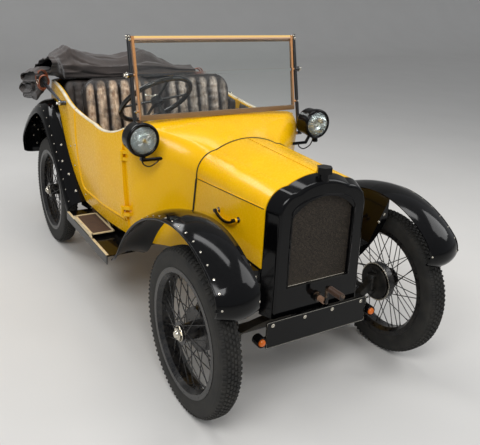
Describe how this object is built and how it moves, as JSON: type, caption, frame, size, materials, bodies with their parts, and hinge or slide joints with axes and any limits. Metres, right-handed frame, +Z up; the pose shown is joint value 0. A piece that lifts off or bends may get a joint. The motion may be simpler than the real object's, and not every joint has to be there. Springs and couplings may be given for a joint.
{
  "type": "1920s open touring car",
  "caption": "Small 1920s open touring car with wire wheels, flared wings, folded hood, upright radiator and split windscreen, with turning wheels, steering, doors and bonnet.",
  "frame": {"origin": "on the ground, below the centre of the car's length and width", "axes": "+Y to the car's rear, +X to the car's left, +Z up"},
  "size_m": [1.188, 2.8817, 1.3947],
  "materials": {
    "yellow_paint": "gloss",
    "black_enamel": "gloss",
    "chassis_black": "satin",
    "spring_steel": "satin",
    "engine_iron": "matte",
    "core_mesh": "matte",
    "screen_bars": "satin",
    "clear_glass": "gloss",
    "amber_glass": "gloss",
    "brown_leather": "satin",
    "hood_cloth": "matte",
    "tyre_rubber": "matte"
  },
  "bodies": {
    "car": {"chassis_frame": "chassis_black", "front_axle": "chassis_black", "front_spring": "spring_steel", "rear_springs": "spring_steel", "rear_axle": "chassis_black", "engine_block": "engine_iron", "exhaust": "chassis_black", "body_tub": "yellow_paint", "scuttle": "yellow_paint", "radiator_shell": "black_enamel", "radiator_core": "core_mesh", "front_wings": "black_enamel", "running_boards": "black_enamel", "rear_wings": "black_enamel", "windscreen_frame": "screen_bars", "windscreen_glass": "clear_glass", "headlamps": "black_enamel", "headlamp_lenses": "clear_glass", "front_seats": "brown_leather", "rear_seat": "brown_leather", "steering_column": "black_enamel", "hood": "hood_cloth", "hood_irons": "black_enamel", "number_plate": "black_enamel", "indicators": "amber_glass", "starting_handle": "spring_steel", "levers": "spring_steel", "wheel_spare": "black_enamel", "tyre_spare": "tyre_rubber"},
    "knuckle_right_body": {"knuckle_right": "chassis_black"},
    "knuckle_left_body": {"knuckle_left": "chassis_black"},
    "track_rod_body": {"track_rod": "chassis_black"},
    "steering_wheel_body": {"steering_wheel": "black_enamel"},
    "door_left_body": {"door_left": "yellow_paint"},
    "door_right_body": {"door_right": "yellow_paint"},
    "bonnet_left_body": {"bonnet_left": "yellow_paint"},
    "bonnet_right_body": {"bonnet_right": "yellow_paint"},
    "wheel_front_left_body": {"wheel_front_left": "black_enamel", "tyre_front_left": "tyre_rubber"},
    "wheel_front_right_body": {"wheel_front_right": "black_enamel", "tyre_front_right": "tyre_rubber"},
    "wheel_rear_left_body": {"wheel_rear_left": "black_enamel", "tyre_rear_left": "tyre_rubber"},
    "wheel_rear_right_body": {"wheel_rear_right": "black_enamel", "tyre_rear_right": "tyre_rubber"}
  },
  "joints": [
    {"name": "steer", "type": "hinge", "parent": "car", "child": "knuckle_right_body", "pos_m": [-0.423, -1.098, 0.336], "axis": [0, 0, 1], "range_deg": [-28, 28]},
    {"name": "steer_left", "type": "hinge", "parent": "car", "child": "knuckle_left_body", "pos_m": [0.423, -1.098, 0.336], "axis": [0, 0, 1], "range_deg": [-28, 28]},
    {"name": "track_rod_pin", "type": "hinge", "parent": "knuckle_right_body", "child": "track_rod_body", "pos_m": [-0.423, -0.988, 0.2767], "axis": [0, 0, 1], "range_deg": [-28, 28]},
    {"name": "steering_wheel_turn", "type": "hinge", "parent": "car", "child": "steering_wheel_body", "pos_m": [-0.26, -0.198, 1.07], "axis": [-0.1385, 0.6548, 0.743], "range_deg": [-168, 168]},
    {"name": "wheel_front_left_spin", "type": "hinge", "parent": "knuckle_left_body", "child": "wheel_front_left_body", "pos_m": [0.508, -1.098, 0.336], "axis": [1, 0, 0], "continuous": true},
    {"name": "wheel_front_right_spin", "type": "hinge", "parent": "knuckle_right_body", "child": "wheel_front_right_body", "pos_m": [-0.508, -1.098, 0.336], "axis": [1, 0, 0], "continuous": true},
    {"name": "wheel_rear_left_spin", "type": "hinge", "parent": "car", "child": "wheel_rear_left_body", "pos_m": [0.508, 0.807, 0.336], "axis": [1, 0, 0], "continuous": true},
    {"name": "wheel_rear_right_spin", "type": "hinge", "parent": "car", "child": "wheel_rear_right_body", "pos_m": [-0.508, 0.807, 0.336], "axis": [1, 0, 0], "continuous": true},
    {"name": "door_left_hinge", "type": "hinge", "parent": "car", "child": "door_left_body", "pos_m": [0.492, -0.328, 0.72], "axis": [0, 0, -1], "range_deg": [0, 70]},
    {"name": "door_right_hinge", "type": "hinge", "parent": "car", "child": "door_right_body", "pos_m": [-0.492, -0.328, 0.72], "axis": [0, 0, 1], "range_deg": [0, 70]},
    {"name": "bonnet_left_hinge", "type": "hinge", "parent": "car", "child": "bonnet_left_body", "pos_m": [0, -0.902, 0.943], "axis": [0, -0.9993, -0.0368], "range_deg": [0, 50]},
    {"name": "bonnet_right_hinge", "type": "hinge", "parent": "car", "child": "bonnet_right_body", "pos_m": [0, -0.902, 0.943], "axis": [0, 0.9993, 0.0368], "range_deg": [0, 50]}
  ],
  "couplings": [
    {"joint": "steer_left", "follows": "steer", "ratio": 1},
    {"joint": "track_rod_pin", "follows": "steer", "ratio": -1},
    {"joint": "steering_wheel_turn", "follows": "steer", "ratio": 6}
  ]
}
